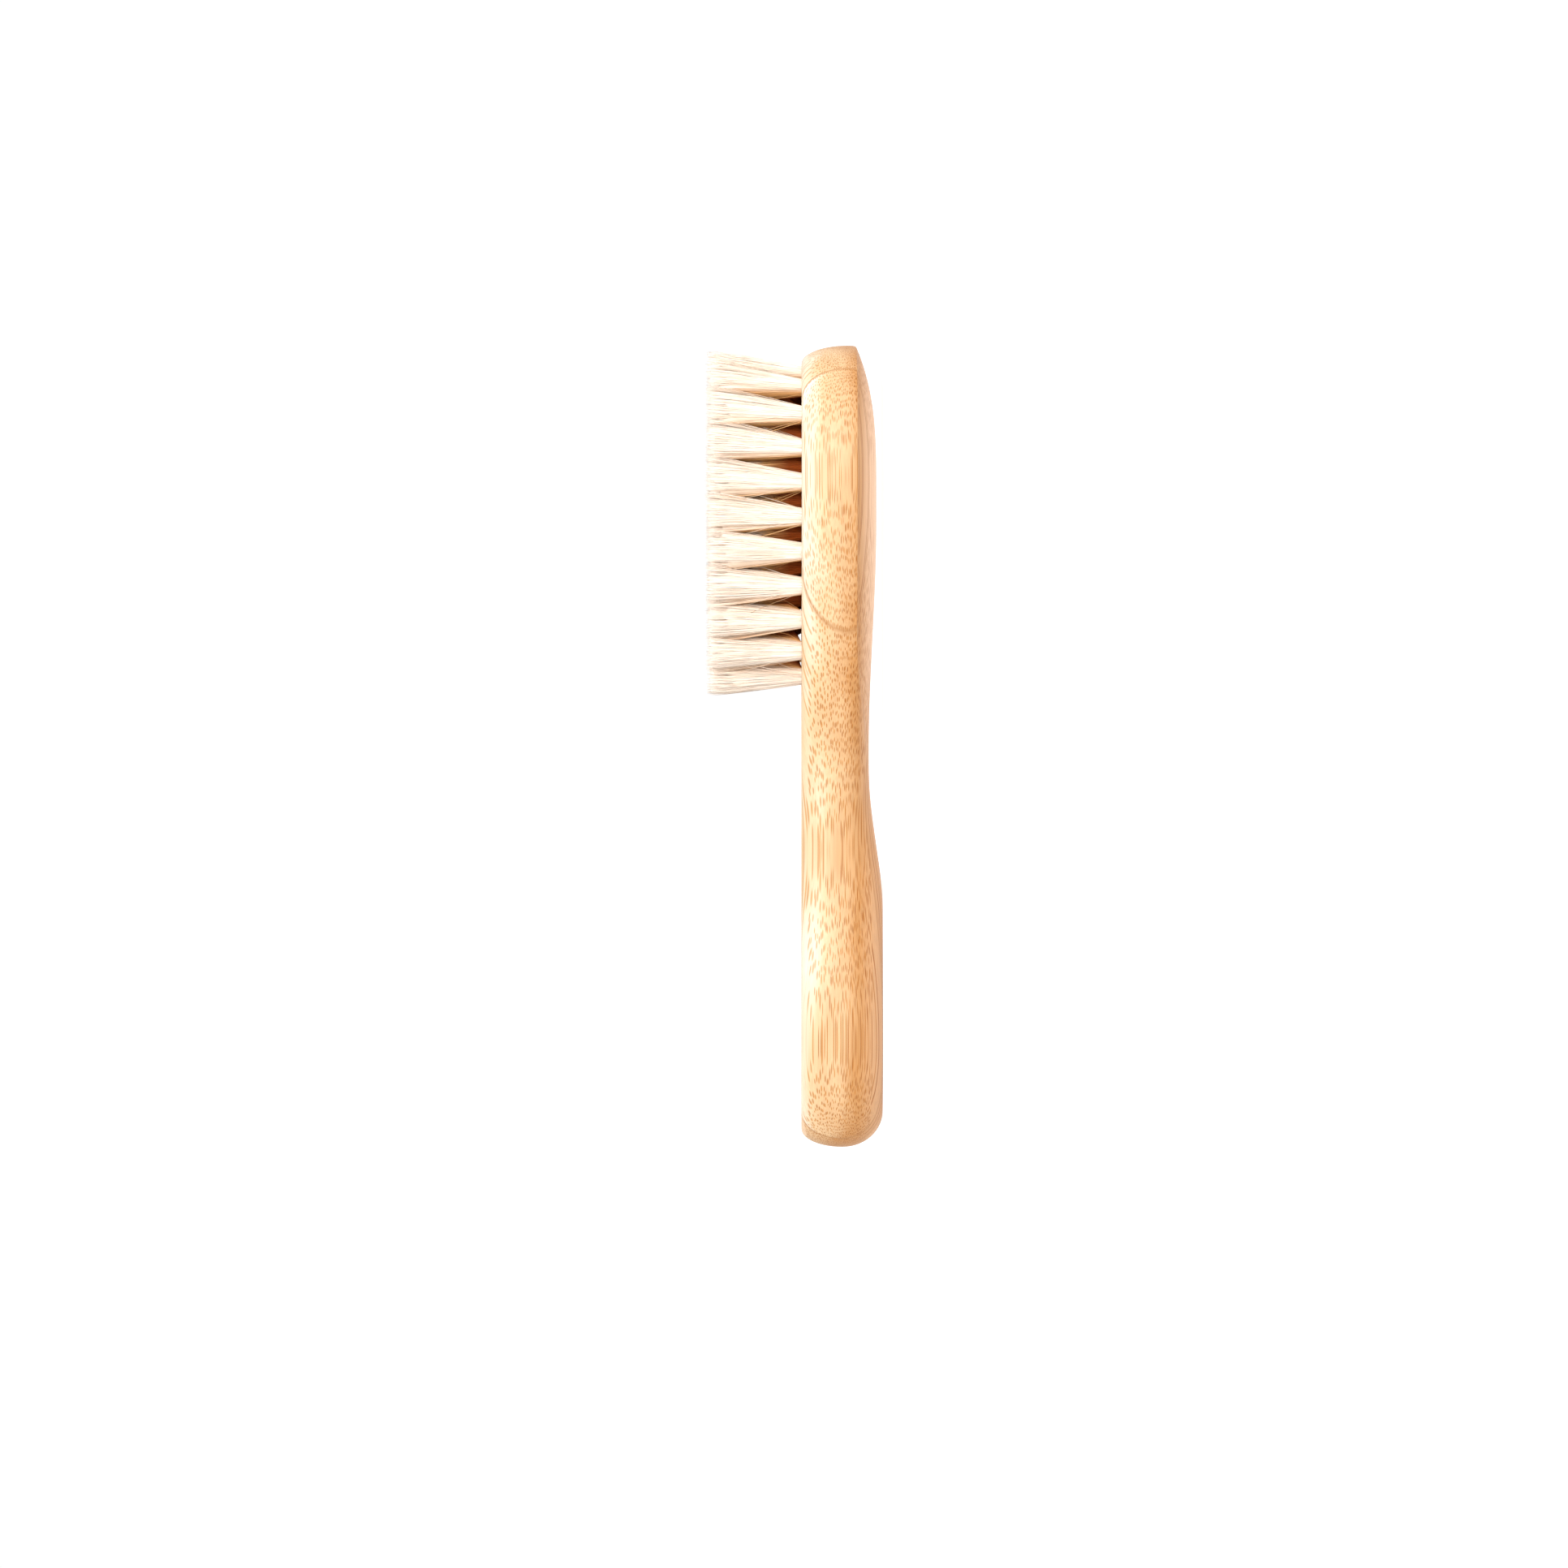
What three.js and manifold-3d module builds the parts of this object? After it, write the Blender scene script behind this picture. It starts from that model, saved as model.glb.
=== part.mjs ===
// Oval grooming brush: a glue-laminated bamboo body with 46 tufts of soft goat hair.
// Millimetres. The brush lies on its back, +X to the head end, +Y across, +Z up through the tufts.
// The origin is the middle of the footprint, level with the flat back of the handle.

import * as THREE from 'three';
import { mergeVertices } from 'three/addons/utils/BufferGeometryUtils.js';
import Module from 'manifold-3d';

const wasm = await Module();
wasm.setup();

// ---- driving dimensions ----

const LENGTH = 160;
const HEAD_END = LENGTH / 2;
const BUTT_END = -LENGTH / 2;
const FACE_Z = 16.2; // flat face that the tufts stand in

// Plan outline at its widest level: places along X and half widths there.
const HEAD = { x: 52.7, half: 22.6, tipFullness: 0.7, neckReach: 21 };
const WAIST = { x: -20.3, half: 8, headReach: 24, gripReach: 16 };
const GRIP = { x: -59.2, half: 11.6, waistReach: 16, buttReach: 12.5, buttFullness: 7 };

// Edge section: the front corner is one long soft round, the back corner differs.
const FRONT_ROUND = 3.6; // how far the face edge lies inside the widest outline
const GRIP_SECTION = { widestZ: 8, backRound: 7 };
const HEAD_SECTION = { widestZ: 6.9, backRound: 0.3, creaseZ: 5.3 };
const CREASE_FADE = { from: -8, to: 22 }; // along X, where the crease grows out of the round neck

// Centre line of the back: crown of the head, hollow of the neck, flat of the grip.
const CROWN = { x: 44, z: 1.27 };
const NECK_TOP = { x: 0, z: 2.73 };
const NECK_FOOT = { x: -6, z: 2.73 };
const GRIP_FLAT = { x: -32, z: 0 };
const SPINE = { from: -67, to: 52 }; // the back closes on this stretch of the centre line
const DOME_POWER = 3; // how soon the dome drops from its crease to its crown

// The blank is glued up from strips of one thickness, on edge along the brush.
const PLY_THICKNESS = 11.2;
const GLUE_LINE = 0.1;

// Tufts: three egg-shaped rings round one middle, in drilled blind holes. Each ring gives how far
// it reaches to the tip and to the neck, its half width, and how full its four stretches are
// (0.55 follows an ellipse, 1 nears a box), from the tip round the flank to the neck.
const FIELD_X = 50; // where the rings are widest
const RINGS = [
  { name: 'outer', count: 22, toTip: 24.2, toNeck: 36.6, half: 15.3, full: [0.68, 0.68, 0.53, 0.57] },
  { name: 'middle', count: 16, toTip: 16.8, toNeck: 26.2, half: 10, full: [0.63, 0.63, 0.64, 0.68] },
  { name: 'inner', count: 8, toTip: 9.1, toNeck: 17.5, half: 3.4, full: [1.1, 0.9, 0.98, 1.25] },
];
const HOLE = { radius: 1.9, depth: 7.5 };
const TUFT = { rootRadius: 1.75, tipRadius: 2.95, floorGap: 0.3, swellHeight: 9.5, height: 19.2 };
const FLARE = { x: 20, alongX: 0.024, alongY: 0.03 }; // the tips spread away from this place

// Mesh fineness.
const OUTLINE_STEPS = 44; // per side
const ROUND_STEPS = 4;
const BACK_STEPS = 4;
const HOLE_SIDES = 12;

// ---- materials ----

function bamboo(colour) {
  return new THREE.MeshStandardMaterial({ color: colour, roughness: 0.5, metalness: 0 });
}

function goatHair() {
  return new THREE.MeshStandardMaterial({ color: 0xf8e9db, roughness: 0.8, metalness: 0 });
}

// ---- body outline and section ----

// One side of the plan outline, from the head end to the butt, as four smooth stretches.
function planSide() {
  const side = new THREE.Path();
  const tipLength = HEAD_END - HEAD.x;
  side.moveTo(HEAD_END, 0);
  side.bezierCurveTo(
    HEAD_END, HEAD.tipFullness * HEAD.half,
    HEAD.x + HEAD.tipFullness * tipLength, HEAD.half,
    HEAD.x, HEAD.half,
  );
  side.bezierCurveTo(
    HEAD.x - HEAD.neckReach, HEAD.half,
    WAIST.x + WAIST.headReach, WAIST.half,
    WAIST.x, WAIST.half,
  );
  side.bezierCurveTo(
    WAIST.x - WAIST.gripReach, WAIST.half,
    GRIP.x + GRIP.waistReach, GRIP.half,
    GRIP.x, GRIP.half,
  );
  side.bezierCurveTo(
    GRIP.x - GRIP.buttReach, GRIP.half,
    BUTT_END, GRIP.buttFullness,
    BUTT_END, 0,
  );
  return side;
}

// Points of the closed plan outline, each with its inward normal.
function planOutline() {
  const side = planSide();
  const points = [];
  for (let i = 0; i <= OUTLINE_STEPS; i += 1) {
    const t = i / OUTLINE_STEPS;
    const place = side.getPoint(t);
    const tangent = i === 0 || i === OUTLINE_STEPS ? new THREE.Vector2(0, i ? -1 : 1) : side.getTangent(t);
    points.push({ x: place.x, y: place.y, inX: -tangent.y, inY: tangent.x });
  }
  const mirrored = points.slice(1, -1).reverse();
  return points.concat(mirrored.map((p) => ({ x: p.x, y: -p.y, inX: p.inX, inY: -p.inY })));
}

// How far a place along X belongs to the creased head (1) or to the round grip (0).
function headShare(x) {
  return THREE.MathUtils.smoothstep(x, CREASE_FADE.from, CREASE_FADE.to);
}

// Height of the back along the centre line.
function backZ(x) {
  if (x > NECK_FOOT.x) {
    const share = THREE.MathUtils.smoothstep(x, NECK_TOP.x, CROWN.x);
    return THREE.MathUtils.lerp(NECK_TOP.z, CROWN.z, share);
  }
  const share = THREE.MathUtils.smoothstep(x, GRIP_FLAT.x, NECK_FOOT.x);
  return THREE.MathUtils.lerp(GRIP_FLAT.z, NECK_FOOT.z, share);
}

// Widest level, corner round and corner height of the section at a place along X.
function sectionAt(x) {
  const share = headShare(x);
  return {
    widestZ: THREE.MathUtils.lerp(GRIP_SECTION.widestZ, HEAD_SECTION.widestZ, share),
    backRound: THREE.MathUtils.lerp(GRIP_SECTION.backRound, HEAD_SECTION.backRound, share),
    cornerZ: THREE.MathUtils.lerp(backZ(x), HEAD_SECTION.creaseZ, share),
  };
}

function insetPoint(p, inset, z) {
  return new THREE.Vector3(p.x + p.inX * inset, p.y + p.inY * inset, z);
}

// The point of the centre line that an outline point closes on.
function spinePoint(corner) {
  return new THREE.Vector3(THREE.MathUtils.clamp(corner.x, SPINE.from, SPINE.to), 0, 0);
}

function frontRing(outline, turn) {
  return outline.map((p) => {
    const { widestZ } = sectionAt(p.x);
    const inset = FRONT_ROUND * (1 - Math.cos(turn));
    return insetPoint(p, inset, widestZ + (FACE_Z - widestZ) * Math.sin(turn));
  });
}

function backRing(outline, turn) {
  return outline.map((p) => {
    const { widestZ, backRound, cornerZ } = sectionAt(p.x);
    const inset = backRound * (1 - Math.cos(turn));
    return insetPoint(p, inset, widestZ - (widestZ - cornerZ) * Math.sin(turn));
  });
}

// A ring of the back, part of the way (0 to 1) from the corner to the centre line.
function domeRing(outline, way) {
  return outline.map((p) => {
    const { backRound, cornerZ } = sectionAt(p.x);
    const corner = insetPoint(p, backRound, cornerZ);
    const place = corner.clone().lerp(spinePoint(corner), way);
    const crown = backZ(place.x);
    place.z = crown + (cornerZ - crown) * (1 - way) ** DOME_POWER;
    return place;
  });
}

function bodyRings() {
  const outline = planOutline();
  const faceEdge = frontRing(outline, Math.PI / 2);
  const rings = [faceEdge.map((corner) => spinePoint(corner).setZ(FACE_Z))];
  for (let i = ROUND_STEPS; i >= 0; i -= 1) {
    rings.push(frontRing(outline, (i / ROUND_STEPS) * (Math.PI / 2)));
  }
  for (let i = 1; i <= ROUND_STEPS; i += 1) {
    rings.push(backRing(outline, (i / ROUND_STEPS) * (Math.PI / 2)));
  }
  for (let i = 1; i <= BACK_STEPS; i += 1) {
    rings.push(domeRing(outline, i / BACK_STEPS));
  }
  return rings;
}

// Skin over rings of equal length; the first and last ring each fold shut on a line.
function skin(rings) {
  const around = rings[0].length;
  const index = [];
  for (let k = 0; k + 1 < rings.length; k += 1) {
    for (let i = 0; i < around; i += 1) {
      const j = (i + 1) % around;
      const [a, b] = [k * around + i, k * around + j];
      index.push(a, a + around, b);
      index.push(b, a + around, b + around);
    }
  }
  const geometry = new THREE.BufferGeometry().setFromPoints(rings.flat());
  geometry.setIndex(index);
  return geometry;
}

// ---- solids ----

// A closed geometry as a solid, with its shared corners merged and its flat triangles left out.
function toSolid(geometry) {
  const bare = geometry.clone();
  bare.deleteAttribute('normal');
  bare.deleteAttribute('uv');
  const merged = mergeVertices(bare, 1e-4);
  const corners = merged.index.array;
  const triangles = [];
  for (let i = 0; i < corners.length; i += 3) {
    const [a, b, c] = corners.slice(i, i + 3);
    if (a !== b && b !== c && c !== a) triangles.push(a, b, c);
  }
  return new wasm.Manifold(new wasm.Mesh({
    numProp: 3,
    vertProperties: new Float32Array(merged.attributes.position.array),
    triVerts: new Uint32Array(triangles),
  }));
}

function toGeometry(solid) {
  const mesh = solid.getMesh();
  const geometry = new THREE.BufferGeometry();
  geometry.setAttribute('position', new THREE.BufferAttribute(mesh.vertProperties, 3));
  geometry.setIndex(new THREE.BufferAttribute(mesh.triVerts, 1));
  geometry.computeVertexNormals();
  return geometry;
}

function named(name, geometry, material) {
  const mesh = new THREE.Mesh(geometry, material);
  mesh.name = name;
  return mesh;
}

// ---- tuft field ----

// Roots of one ring of tufts at equal steps along its egg, none on the centre line.
function ringRoots(ring) {
  const { toTip, toNeck, half, full } = ring;
  const egg = new THREE.Path();
  egg.moveTo(FIELD_X + toTip, 0);
  egg.bezierCurveTo(FIELD_X + toTip, full[0] * half, FIELD_X + full[1] * toTip, half, FIELD_X, half);
  egg.bezierCurveTo(FIELD_X - full[2] * toNeck, half, FIELD_X - toNeck, full[3] * half, FIELD_X - toNeck, 0);
  const perSide = ring.count / 2;
  const roots = [];
  for (let i = 0; i < perSide; i += 1) {
    roots.push(egg.getPoint((i + 0.5) / perSide));
  }
  const mirrored = roots.slice().reverse().map((p) => new THREE.Vector2(p.x, -p.y));
  return roots.concat(mirrored);
}

function tuftSpots() {
  return RINGS.flatMap((ring) => ringRoots(ring).map((root, i) => ({
    name: `tuft_${ring.name}_${String(i + 1).padStart(2, '0')}`,
    root,
  })));
}

function holeCutter(root) {
  const overshoot = 1;
  const length = HOLE.depth + overshoot;
  const drill = new THREE.CylinderGeometry(HOLE.radius, HOLE.radius, length, HOLE_SIDES);
  drill.rotateX(Math.PI / 2);
  drill.translate(root.x, root.y, FACE_Z + overshoot - length / 2);
  return toSolid(drill);
}

// A tuft as one plain closed form: a root in its hole that swells and then runs straight to its tip.
function tuftGeometry(root) {
  const footZ = FACE_Z - HOLE.depth + TUFT.floorGap;
  const profile = [
    new THREE.Vector2(0, footZ),
    new THREE.Vector2(TUFT.rootRadius, footZ),
    new THREE.Vector2(TUFT.rootRadius, FACE_Z),
    new THREE.Vector2(TUFT.tipRadius, FACE_Z + TUFT.swellHeight),
    new THREE.Vector2(TUFT.tipRadius, FACE_Z + TUFT.height),
    new THREE.Vector2(0, FACE_Z + TUFT.height),
  ];
  const tuft = new THREE.LatheGeometry(profile, HOLE_SIDES);
  tuft.rotateX(Math.PI / 2);
  const places = tuft.attributes.position;
  for (let i = 0; i < places.count; i += 1) {
    const rise = Math.max(0, places.getZ(i) - FACE_Z) / TUFT.height;
    const leanX = FLARE.alongX * (root.x - FLARE.x) * rise;
    const leanY = FLARE.alongY * root.y * rise;
    places.setX(i, places.getX(i) + root.x + leanX);
    places.setY(i, places.getY(i) + root.y + leanY);
  }
  return tuft;
}

function makeTuft(spot) {
  return named(spot.name, toGeometry(toSolid(tuftGeometry(spot.root))), goatHair());
}

// ---- bamboo plies ----

// A slab between two levels of Y, longer and higher than the body.
function slab(fromY, toY) {
  const margin = 10;
  const box = new THREE.BoxGeometry(LENGTH + 2 * margin, toY - fromY, FACE_Z + 2 * margin);
  box.translate(0, (fromY + toY) / 2, FACE_Z / 2);
  return toSolid(box);
}

function makePlies(spots) {
  const holes = spots.map((spot) => holeCutter(spot.root)).reduce((all, hole) => all.add(hole));
  const drilledBody = toSolid(skin(bodyRings())).subtract(holes);
  const inner = PLY_THICKNESS / 2;
  const outer = inner + PLY_THICKNESS;
  const edge = outer + PLY_THICKNESS;
  const gap = GLUE_LINE / 2;
  const strips = [
    { name: 'ply_center', from: -inner + gap, to: inner - gap, colour: 0xf0c88f },
    { name: 'ply_inner_right', from: -outer + gap, to: -inner - gap, colour: 0xf3ca92 },
    { name: 'ply_inner_left', from: inner + gap, to: outer - gap, colour: 0xf3ca92 },
    { name: 'ply_outer_right', from: -edge, to: -outer - gap, colour: 0xf8d9ad },
    { name: 'ply_outer_left', from: outer + gap, to: edge, colour: 0xf8d9ad },
  ];
  return strips.map((strip) => {
    const piece = drilledBody.intersect(slab(strip.from, strip.to));
    return named(strip.name, toGeometry(piece), bamboo(strip.colour));
  });
}

// ---- assembly ----

const spots = tuftSpots();
const brush = new THREE.Group();
brush.name = 'brush';
brush.add(...makePlies(spots));
brush.add(...spots.map(makeTuft));

export default brush;
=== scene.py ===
"""Looks of an oval beard brush: a laminated bamboo body and its tufts of soft goat hair.

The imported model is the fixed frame. The brush lies on its back with +X to the head end, +Y across
and +Z up through the hair. Sizes in this file are millimetres unless a name says otherwise; meshes
are made in metres, in the frame's own coordinates.
"""

from __future__ import annotations

import logging
import math
from dataclasses import dataclass, field
from enum import Enum
from functools import partial
from typing import Any

import bmesh
import bpy
import numpy as np
from mathutils import Matrix, Vector


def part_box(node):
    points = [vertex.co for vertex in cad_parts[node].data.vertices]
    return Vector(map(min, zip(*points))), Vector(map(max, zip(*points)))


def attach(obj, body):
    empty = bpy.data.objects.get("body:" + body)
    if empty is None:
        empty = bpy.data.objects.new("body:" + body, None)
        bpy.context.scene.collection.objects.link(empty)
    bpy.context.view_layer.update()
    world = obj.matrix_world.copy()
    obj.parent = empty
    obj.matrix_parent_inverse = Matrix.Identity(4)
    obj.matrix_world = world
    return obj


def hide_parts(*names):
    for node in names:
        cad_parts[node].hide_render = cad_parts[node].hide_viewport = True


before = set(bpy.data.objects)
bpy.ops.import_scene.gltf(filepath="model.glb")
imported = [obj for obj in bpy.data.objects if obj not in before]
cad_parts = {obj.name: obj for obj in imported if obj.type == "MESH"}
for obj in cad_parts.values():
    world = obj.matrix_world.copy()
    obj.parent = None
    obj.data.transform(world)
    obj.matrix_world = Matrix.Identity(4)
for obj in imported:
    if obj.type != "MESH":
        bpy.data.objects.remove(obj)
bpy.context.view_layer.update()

LOG = logging.getLogger("beard_brush")
MM = 0.001  # metres in a millimetre
ROOT = "root"  # the one body of a part with no joints
SEED = 20240
FULL_TURN = 2 * math.pi
SHARP_ANGLE = math.radians(40)  # edges of the wood that stay crisp
SAME_PLACE = 1e-7  # metres; points closer than this are one
NOISE_RANGE = {"From Min": 0.3, "From Max": 0.7}  # nearly all of a noise lies in it

FACE_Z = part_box("ply_center")[1].z / MM
TIP_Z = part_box("tuft_outer_01")[1].z / MM
HALF_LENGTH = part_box("ply_center")[1].x / MM
HALF_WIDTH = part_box("ply_outer_left")[1].y / MM


# --- Small helpers ---


def linear(hex_colour: str) -> tuple[float, float, float, float]:
    """Turns an sRGB hex colour into the linear colour that a shader takes.

    Args:
        hex_colour: Six hex digits.

    Returns:
        Red, green, blue and an alpha of 1, all linear.
    """
    channels = [int(hex_colour[i : i + 2], 16) / 255 for i in (0, 2, 4)]
    straight = [c / 12.92 if c <= 0.04045 else ((c + 0.055) / 1.055) ** 2.4 for c in channels]
    return (*straight, 1.0)


def smoothstep(x: np.ndarray | float, low: float, high: float) -> np.ndarray:
    """Eases from 0 at low to 1 at high.

    Args:
        x: The values to ease.
        low: Where the result is 0.
        high: Where the result is 1.

    Returns:
        The eased values.
    """
    t = np.clip((np.asarray(x, float) - low) / (high - low), 0, 1)
    return t * t * (3 - 2 * t)


def add_node(
    tree: bpy.types.NodeTree,
    kind: str,
    settings: dict[str | int, Any] | None = None,
    links: dict[str | int, bpy.types.Node | bpy.types.NodeSocket] | None = None,
) -> bpy.types.Node:
    """Adds one node with its settings and links.

    Args:
        tree: The node tree that gets the node.
        kind: The node's type without its leading "ShaderNode", such as "Math".
        settings: Values by name of a property of the node, or by name or number of an input.
        links: What feeds each input, by name or number: a socket, or a node's first output.

    Returns:
        The new node.
    """
    node = tree.nodes.new(f"ShaderNode{kind}")
    for name, value in (settings or {}).items():
        if isinstance(name, str) and hasattr(node, name):
            setattr(node, name, value)
        else:
            node.inputs[name].default_value = value
    for name, source in (links or {}).items():
        socket = source.outputs[0] if isinstance(source, bpy.types.Node) else source
        tree.links.new(socket, node.inputs[name])
    return node


def stretched_noise(
    tree: bpy.types.NodeTree,
    place: bpy.types.Node | bpy.types.NodeSocket,
    scale: tuple[float, float, float],
    detail: float = 2.0,
    offset: tuple[float, float, float] = (0, 0, 0),
) -> bpy.types.Node:
    """Adds a noise that has its own size along each axis.

    Args:
        tree: The node tree.
        place: Where each point lies.
        scale: Swells of the noise in one unit of place, along each axis.
        detail: How many finer layers it has.
        offset: Moves it, so that no two pieces match.

    Returns:
        The noise node.
    """
    mapped = add_node(tree, "Mapping", {"Location": offset, "Scale": scale}, {"Vector": place})
    return add_node(tree, "TexNoise", {"Scale": 1.0, "Detail": detail}, {"Vector": mapped})


def new_material(
    name: str, settings: dict[str, Any]
) -> tuple[bpy.types.Material, bpy.types.NodeTree, bpy.types.Node]:
    """Makes a material with a Principled shader joined to its output.

    Args:
        name: The material's name.
        settings: Values of the shader that are the same all over.

    Returns:
        The material, its node tree and its Principled node.
    """
    material = bpy.data.materials.new(name)
    material.use_nodes = True
    tree = material.node_tree
    tree.nodes.clear()
    shader = add_node(tree, "BsdfPrincipled", settings)
    add_node(tree, "OutputMaterial", links={"Surface": shader})
    return material, tree, shader


def new_object(name: str, data: bpy.types.ID) -> bpy.types.Object:
    """Links a mesh, lamp or camera into the scene.

    Args:
        name: The object's name.
        data: The mesh, already in metres in the frame's coordinates, or the lamp or camera.

    Returns:
        The new object.
    """
    thing = bpy.data.objects.new(name, data)
    bpy.context.scene.collection.objects.link(thing)
    return thing


def mesh_object(name: str, mesh: bpy.types.Mesh, material: bpy.types.Material) -> bpy.types.Object:
    """Links a mesh into the scene as an object with one material."""
    mesh.materials.append(material)
    return new_object(name, mesh)


def new_mesh(name: str, points: np.ndarray, faces: list[list[int]]) -> bpy.types.Mesh:
    """Makes a mesh.

    Args:
        name: The mesh's name.
        points: Its points, in mm.
        faces: The point numbers of each face.

    Returns:
        The mesh, in metres.
    """
    mesh = bpy.data.meshes.new(name)
    mesh.from_pydata((points * MM).tolist(), [], faces)
    return mesh


def ring_faces(rings: int, around: int) -> np.ndarray:
    """Quads between neighbouring closed rings of points, numbered ring by ring.

    Args:
        rings: How many rings there are.
        around: How many points each ring has.

    Returns:
        An array of quads, each four point numbers.
    """
    ring, place = np.meshgrid(np.arange(rings - 1), np.arange(around), indexing="ij")
    a = ring * around + place
    b = ring * around + (place + 1) % around
    return np.stack([a, a + around, b + around, b], axis=-1).reshape(-1, 4)


def ring_triangles(rings: int, around: int) -> np.ndarray:
    """The same as triangles, which face the other way."""
    quads = ring_faces(rings, around)
    return np.vstack([quads[:, [0, 3, 2]], quads[:, [0, 2, 1]]])


# --- Finishes ---


class Ply(Enum):
    """The five strips of bamboo that the body is glued up from, by their number across."""

    CENTER = 0
    INNER_LEFT = 1
    INNER_RIGHT = -1
    OUTER_LEFT = 2
    OUTER_RIGHT = -2

    @property
    def node(self) -> str:
        """The CAD node of this ply."""
        return f"ply_{self.name.lower()}"

    @property
    def slot(self) -> str:
        """The record's material slot of this ply."""
        return f"bamboo_{self.name.lower().split('_')[0]}"


@dataclass(frozen=True)
class LaminatedBamboo:
    """Strip-laminated moso bamboo, shaped, sanded to a fine grit and lightly oiled.

    The eye gets a pale straw ground, honey-brown vascular bundles that show as dots where the
    surface cuts across the fibres and as long streaks where it runs along them, a denser and
    darker side where the strip was next to the skin of the culm, and a soft satin sheen.
    """

    pith: str = "E9E0D0"  # ground on the side of the strip that faced the hollow
    middle: str = "D6B48B"
    middle_at: float = 0.45  # where that ground lies between pith and skin
    skin: str = "B8844E"  # ground where the bundles crowd
    skin_z: float = 3.0  # mm; level where they are densest
    lean: float = 0.1  # mm that a strip's layers rise for each mm across it
    rind_and_floor_light: str = "F2D2B4"  # ground right under the skin, paler and pinker; partly painted light from the floor on the low back
    rind_z: tuple[float, float] = (1.5, 5.0)  # mm; all rind below the first, none above the second
    rind_veil: float = 0.6  # how much of the bundles the rind and its painted light hide
    grip_rind: float = 0.25  # how much of that the deeper cut of the grip leaves, painted light too
    grip_end: tuple[float, float] = (-20.0, 15.0)  # mm; X over which the cut gets shallower
    ripeness: tuple[float, float, float] = (0.44, 0.26, -0.04)  # extra gold: center, inner, outer
    patch_gold: float = 0.18  # how far slow patches go above and below it
    patch_scale: tuple[float, float, float] = (0.03, 0.16, 0.16)  # patches in a mm
    bundle_pale: str = "C08232"
    bundle_deep: str = "90531A"
    deepening: tuple[float, float] = (0.45, 0.6)  # how deep: a share by chance, a share by ripeness
    bundle_strength: tuple[float, float] = (0.5, 1.0)  # in unripe and in ripe ground
    bundle_spacing: float = 0.44  # mm between vascular bundles, middle of the strip
    bundle_radius: float = 0.118  # mm
    bundle_sizes: tuple[float, float] = (0.75, 1.35)  # the least and the most of that radius
    bundle_edge: tuple[float, float] = (1.25, 0.6)  # of its radius, where a bundle starts and fills
    disorder: float = 0.75  # 0 for bundles in straight rows
    crowding: float = 1.45  # power by which they crowd towards the skin
    wander: float = 0.35  # mm that a bundle strays along the brush
    wander_scale: tuple[float, float, float] = (0.022, 0.06, 0.06)  # swells in a mm
    ply_shift: float = 37.0  # keeps the patterns of the plies apart
    fibre_width: float = 0.22  # mm, fine fibres between the bundles
    fibre_streaks: tuple[float, float] = (0.05, 0.035)  # in a mm along them: relief, tone
    fibre_shade: tuple[float, float] = (0.86, 1.06)
    glue: str = "A06F3E"
    glue_half: float = 0.13  # mm, half of the glue line's width
    glue_strength: float = 0.7
    roughness: tuple[float, float] = (0.39, 0.58)
    pore_depth: float = 0.02  # mm
    pore_share: float = 0.7  # depth of the cut bundles against the fine fibres

    def build(self, ply: Ply, glue_planes: tuple[float, float]) -> bpy.types.Material:
        """Makes the material of one ply.

        Args:
            ply: The ply; each has its own bundles, tone and side of the culm.
            glue_planes: The levels of Y, in mm, of its two long sides.

        Returns:
            The material.
        """
        name = f"bamboo_{ply.name.lower()}_sanded_oiled"
        material, tree, shader = new_material(name, {"IOR": 1.5, "Specular IOR Level": 0.35})
        add = partial(add_node, tree)
        place = add("TexCoord").outputs["Object"]
        local = add("VectorMath", {"operation": "SCALE", "Scale": 1 / MM}, {0: place})

        # The fibres wander slowly along the strip.
        shift = self.ply_shift * ply.value
        drift = stretched_noise(tree, local, self.wander_scale, offset=(shift, 0, 0)).outputs["Color"]
        centred = add("VectorMath", {"operation": "SUBTRACT", 1: (0.5, 0.5, 0.5)}, {0: drift})
        swing = (0, 2 * self.wander, 2 * self.wander)
        strayed = add("VectorMath", {"operation": "MULTIPLY_ADD", 1: swing}, {0: centred, 2: local})
        axes = add("SeparateXYZ", links={0: strayed}).outputs

        # 1 next to the skin of the culm, 0 at the hollow. The strips lean in turn to either side.
        lean = self.lean * (1 if ply.value % 2 == 0 else -1) * (-1 if ply.value > 0 else 1)
        across_up = {0: axes["Y"], 2: axes["Z"]}
        leaning = add("Math", {"operation": "MULTIPLY_ADD", 1: lean}, across_up)
        strip = {"From Min": FACE_Z, "From Max": self.skin_z}
        skin_side = add("MapRange", strip, {"Value": leaning})

        bundle, chance = self._bundles(tree, axes["Y"], skin_side, shift)
        colour = self._colour(tree, local, skin_side, bundle, chance, ply)
        glued = self._glue_line(tree, local, colour, glue_planes)
        tree.links.new(glued, shader.inputs["Base Color"])

        fibres = (self.fibre_streaks[0], 1 / self.fibre_width, 1 / self.fibre_width)
        fine = stretched_noise(tree, local, fibres, detail=3.0)
        low, high = self.roughness
        rough = add("MapRange", {"To Min": low, "To Max": high}, {"Value": fine})
        tree.links.new(rough.outputs[0], shader.inputs["Roughness"])
        pores = {"operation": "MULTIPLY_ADD", 1: -self.pore_share}
        relief = add("Math", pores, {0: bundle, 2: fine})
        bump = add("Bump", {"Strength": 0.5, "Distance": self.pore_depth * MM}, {"Height": relief})
        tree.links.new(bump.outputs["Normal"], shader.inputs["Normal"])
        return material

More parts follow.
